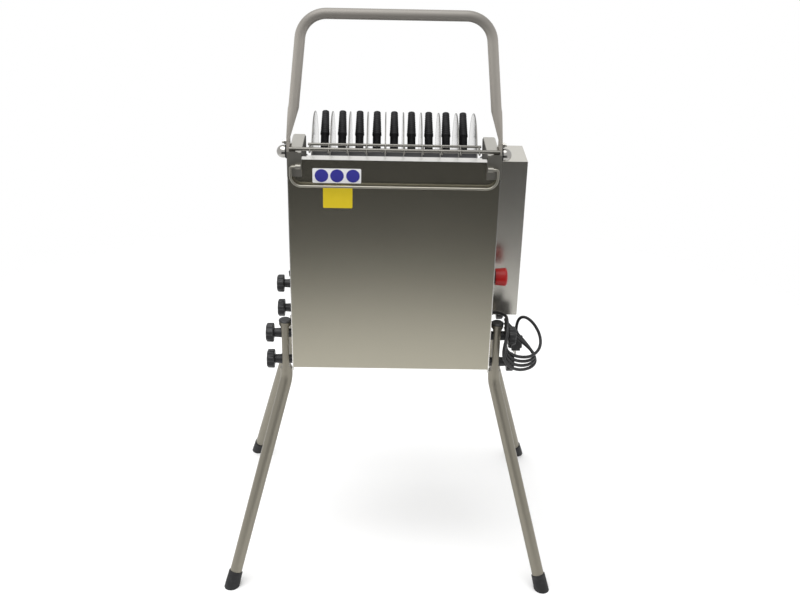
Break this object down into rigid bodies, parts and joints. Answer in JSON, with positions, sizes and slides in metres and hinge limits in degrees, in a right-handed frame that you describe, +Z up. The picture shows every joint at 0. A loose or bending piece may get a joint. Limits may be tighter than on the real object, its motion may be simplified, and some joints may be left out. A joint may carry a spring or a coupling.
{
  "type": "poultry plucker",
  "caption": "Dry poultry plucker: sheet-steel body on splayed tube legs, a rotor of polished discs and rubber fingers, carry handle, belt drive, stop button and coiled mains cord.",
  "frame": {"origin": "on the floor, midway between the four feet", "axes": "+X to the side with the belt cover, +Y to the back, +Z up"},
  "size_m": [0.694, 0.5456, 1.181],
  "materials": {
    "sheet_steel": "satin stainless sheet",
    "polished_steel": "polished stainless",
    "tube_steel": "satin stainless tube",
    "fastener_steel": "zinc plated",
    "black_rubber": "matt black rubber",
    "black_plastic": "fine-grained black plastic",
    "cord_black": "smooth black cord sheath",
    "stop_red": "glossy red plastic",
    "motor_alloy": "cast alloy",
    "bearing_iron": "painted casting",
    "pin_brass": "bright brass",
    "black_sheet": "black painted sheet"
  },
  "bodies": {
    "frame": {"front_panel": "sheet_steel", "left_side_wall": "sheet_steel", "right_side_wall": "sheet_steel", "rear_panel": "sheet_steel", "bottom_plate": "sheet_steel", "feather_baffle": "sheet_steel", "ear_plates": "sheet_steel", "finger_guard": "tube_steel", "left_bearing": "bearing_iron", "right_bearing": "bearing_iron", "bearing_bolts": "fastener_steel", "drive_belt": "black_rubber", "motor_housing": "motor_alloy", "motor_shield": "motor_alloy", "motor_fan_cover": "black_sheet", "motor_terminal_box": "black_sheet", "motor_plate": "sheet_steel", "motor_bolts": "fastener_steel", "belt_cover": "sheet_steel", "belt_cover_screws": "fastener_steel", "switch_body": "black_plastic", "cord_gland": "black_plastic", "cord_lead": "cord_black", "cord_hank": "cord_black", "cord_tail": "cord_black", "plug_body": "black_plastic", "plug_pins": "pin_brass", "leg_front_left": "tube_steel", "leg_front_right": "tube_steel", "leg_rear_left": "tube_steel", "leg_rear_right": "tube_steel", "leg_plugs": "black_plastic", "rubber_feet": "black_rubber", "leg_spacers": "black_plastic", "clamp_nuts": "fastener_steel", "carry_handle": "tube_steel", "handle_washers": "black_rubber", "handle_dome_nuts": "polished_steel", "handle_small_bolts": "fastener_steel"},
    "rotor": {"rotor_shaft": "polished_steel", "plucking_discs": "polished_steel", "finger_hubs": "black_plastic", "finger_row_rear": "black_rubber", "finger_row_low": "black_rubber", "finger_row_front": "black_rubber", "rotor_collars": "motor_alloy", "rotor_pulley": "motor_alloy"},
    "motor_rotor": {"motor_shaft": "polished_steel", "motor_pulley": "motor_alloy"},
    "bail": {"bail": "tube_steel"},
    "stop_button": {"stop_button": "stop_red"},
    "knob_front_left_upper": {"knob_front_left_upper": "black_plastic"},
    "knob_front_left_lower": {"knob_front_left_lower": "black_plastic"},
    "knob_front_right_upper": {"knob_front_right_upper": "black_plastic"},
    "knob_front_right_lower": {"knob_front_right_lower": "black_plastic"},
    "knob_rear_left_upper": {"knob_rear_left_upper": "black_plastic"},
    "knob_rear_left_lower": {"knob_rear_left_lower": "black_plastic"},
    "knob_rear_right_upper": {"knob_rear_right_upper": "black_plastic"},
    "knob_rear_right_lower": {"knob_rear_right_lower": "black_plastic"}
  },
  "joints": [
    {"name": "rotor_spin", "type": "hinge", "parent": "frame", "child": "rotor", "pos_m": [0, 0, 0.853], "axis": [1, 0, 0], "continuous": true},
    {"name": "motor_spin", "type": "hinge", "parent": "frame", "child": "motor_rotor", "pos_m": [0.2, -0.009, 0.615], "axis": [1, 0, 0], "continuous": true},
    {"name": "bail_swing", "type": "hinge", "parent": "frame", "child": "bail", "pos_m": [0, -0.1525, 0.905], "axis": [-1, 0, 0], "range_deg": [0, 110]},
    {"name": "stop_press", "type": "slide", "parent": "frame", "child": "stop_button", "axis": [-1, 0, 0], "range_m": [0, 0.004], "stiffness_N_per_m": 800, "springref_m": -0.002},
    {"name": "knob_front_left_upper_turn", "type": "hinge", "parent": "frame", "child": "knob_front_left_upper", "pos_m": [-0.245, -0.118, 0.539], "axis": [-1, 0, 0], "continuous": true},
    {"name": "knob_front_left_lower_turn", "type": "hinge", "parent": "frame", "child": "knob_front_left_lower", "pos_m": [-0.245, -0.118, 0.4785], "axis": [-1, 0, 0], "continuous": true},
    {"name": "knob_front_right_upper_turn", "type": "hinge", "parent": "frame", "child": "knob_front_right_upper", "pos_m": [0.245, -0.118, 0.539], "axis": [1, 0, 0], "continuous": true},
    {"name": "knob_front_right_lower_turn", "type": "hinge", "parent": "frame", "child": "knob_front_right_lower", "pos_m": [0.245, -0.118, 0.4785], "axis": [1, 0, 0], "continuous": true},
    {"name": "knob_rear_left_upper_turn", "type": "hinge", "parent": "frame", "child": "knob_rear_left_upper", "pos_m": [-0.245, 0.118, 0.539], "axis": [-1, 0, 0], "continuous": true},
    {"name": "knob_rear_left_lower_turn", "type": "hinge", "parent": "frame", "child": "knob_rear_left_lower", "pos_m": [-0.245, 0.118, 0.4785], "axis": [-1, 0, 0], "continuous": true},
    {"name": "knob_rear_right_upper_turn", "type": "hinge", "parent": "frame", "child": "knob_rear_right_upper", "pos_m": [0.245, 0.118, 0.539], "axis": [1, 0, 0], "continuous": true},
    {"name": "knob_rear_right_lower_turn", "type": "hinge", "parent": "frame", "child": "knob_rear_right_lower", "pos_m": [0.245, 0.118, 0.4785], "axis": [1, 0, 0], "continuous": true}
  ],
  "couplings": [
    {"joint": "motor_spin", "follows": "rotor_spin", "ratio": 1.5}
  ]
}
